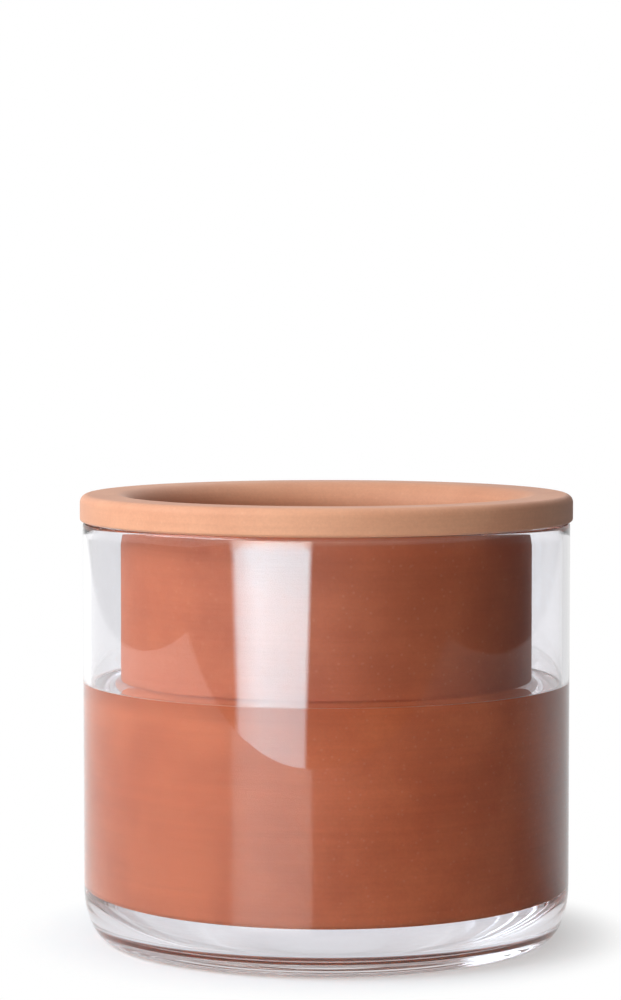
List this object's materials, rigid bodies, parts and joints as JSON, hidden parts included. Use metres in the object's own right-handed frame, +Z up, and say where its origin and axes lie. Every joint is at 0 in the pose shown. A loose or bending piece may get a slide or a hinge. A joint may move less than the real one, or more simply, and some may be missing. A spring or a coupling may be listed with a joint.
{
  "type": "self-watering plant pot",
  "caption": "Round clear glass vessel with a flanged, unglazed terracotta pot hanging in it; water between them seeps through the clay to the soil.",
  "frame": {"origin": "centre of the glass vessel's flat underside", "axes": "+Z up along the axis of the vessel and the pot; +X and +Y are alike, because every piece is round"},
  "size_m": [0.182, 0.182, 0.164],
  "materials": {
    "clear_glass": "clear, polished, fire-polished rim",
    "water": "clear liquid",
    "terracotta": "unglazed, matt, fine throwing lines"
  },
  "bodies": {
    "vessel": {"glass_vessel": "clear_glass", "water": "water"},
    "pot": {"terracotta_pot": "terracotta"}
  },
  "joints": [
    {"name": "pot_lift", "type": "slide", "parent": "vessel", "child": "pot", "axis": [0, 0, 1], "range_m": [0, 0.15], "deforming": ["water"]}
  ]
}
